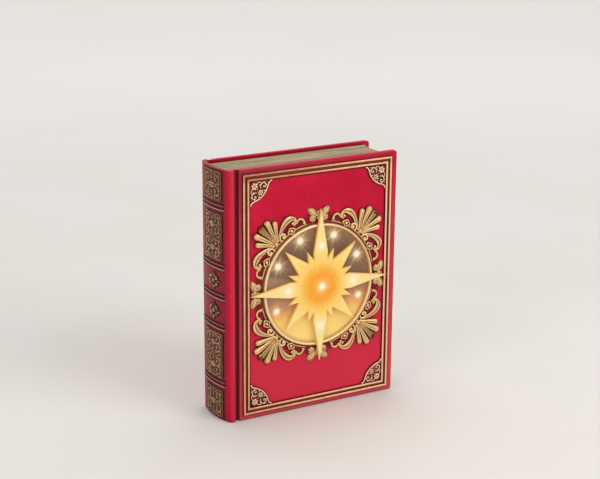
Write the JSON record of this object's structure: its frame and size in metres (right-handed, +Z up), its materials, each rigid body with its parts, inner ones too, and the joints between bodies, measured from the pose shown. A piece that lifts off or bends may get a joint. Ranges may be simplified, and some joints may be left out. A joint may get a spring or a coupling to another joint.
{
  "type": "book lamp",
  "caption": "Upright closed-book decor light: red moulded case with gilt frame, scrolls and spine, a glowing star in a round lit window, battery door and timer switch at the back.",
  "frame": {"origin": "middle of the box round the whole object, at its foot", "axes": "+Z up, -Y out of the front board, +Y out of the back board, -X at the spine"},
  "size_m": [0.169, 0.0564, 0.22],
  "materials": {
    "cover_red": "glossy crimson with a dark antique glaze in its hollows",
    "page_cream": "streaked cream, like page edges",
    "gilt": "antique gold paint, dark in its hollows",
    "lens_smoke": "smoky translucent pane",
    "star_amber": "translucent amber",
    "tray_white": "white reflector",
    "lamp_clear": "clear round lamp, warm white",
    "wire_clear": "clear insulation over copper",
    "wire_red": "red insulation",
    "wire_black": "black insulation",
    "box_black": "black moulding",
    "cell_jacket": "printed jacket without any print",
    "contact_steel": "nickel-plated spring steel",
    "board_green": "solder mask",
    "chip_black": "moulded package",
    "switch_steel": "pressed steel can",
    "knob_black": "ridged knob",
    "screw_steel": "zinc-plated"
  },
  "bodies": {
    "case": {"front_cover": "cover_red", "back_cover": "cover_red", "spine": "cover_red", "page_block": "page_cream", "outer_rail": "gilt", "inner_rail": "gilt", "corner_top_left": "gilt", "corner_top_right": "gilt", "corner_bottom_left": "gilt", "corner_bottom_right": "gilt", "spine_panel_1": "gilt", "spine_panel_2": "gilt", "spine_panel_3": "gilt", "spine_panel_4": "gilt", "spine_medallion_1": "gilt", "spine_medallion_2": "gilt", "shell_top_right": "gilt", "shell_top_left": "gilt", "shell_bottom_right": "gilt", "shell_bottom_left": "gilt", "rosette_top": "gilt", "rosette_left": "gilt", "rosette_bottom": "gilt", "rosette_right": "gilt", "window_bezel": "gilt", "window_lens": "lens_smoke", "star": "star_amber", "light_tray": "tray_white", "led_centre": "lamp_clear", "led_ray_1": "lamp_clear", "led_ray_2": "lamp_clear", "led_ray_3": "lamp_clear", "led_ray_4": "lamp_clear", "led_window_1": "lamp_clear", "led_window_2": "lamp_clear", "led_window_3": "lamp_clear", "led_window_4": "lamp_clear", "led_window_5": "lamp_clear", "led_window_6": "lamp_clear", "led_string": "wire_clear", "lead_red": "wire_red", "lead_black": "wire_black", "battery_box": "box_black", "battery_cell_1": "cell_jacket", "battery_cell_2": "cell_jacket", "battery_cell_3": "cell_jacket", "contact_positive": "contact_steel", "contact_negative": "contact_steel", "contact_bridge_left": "contact_steel", "contact_bridge_right": "contact_steel", "timer_board": "board_green", "timer_chip": "chip_black", "switch_body": "switch_steel", "tray_screws": "screw_steel", "box_screws": "screw_steel", "board_screws": "screw_steel", "case_screws": "screw_steel"},
    "battery_door": {"battery_door": "cover_red"},
    "switch_knob": {"switch_knob": "knob_black"}
  },
  "joints": [
    {"name": "battery_door_hinge", "type": "hinge", "parent": "case", "child": "battery_door", "pos_m": [0.00695, 0.02695, 0.08185], "axis": [1, 0, 0], "range_deg": [0, 95]},
    {"name": "switch_slide", "type": "slide", "parent": "case", "child": "switch_knob", "axis": [1, 0, 0], "range_m": [0, 0.004]}
  ]
}
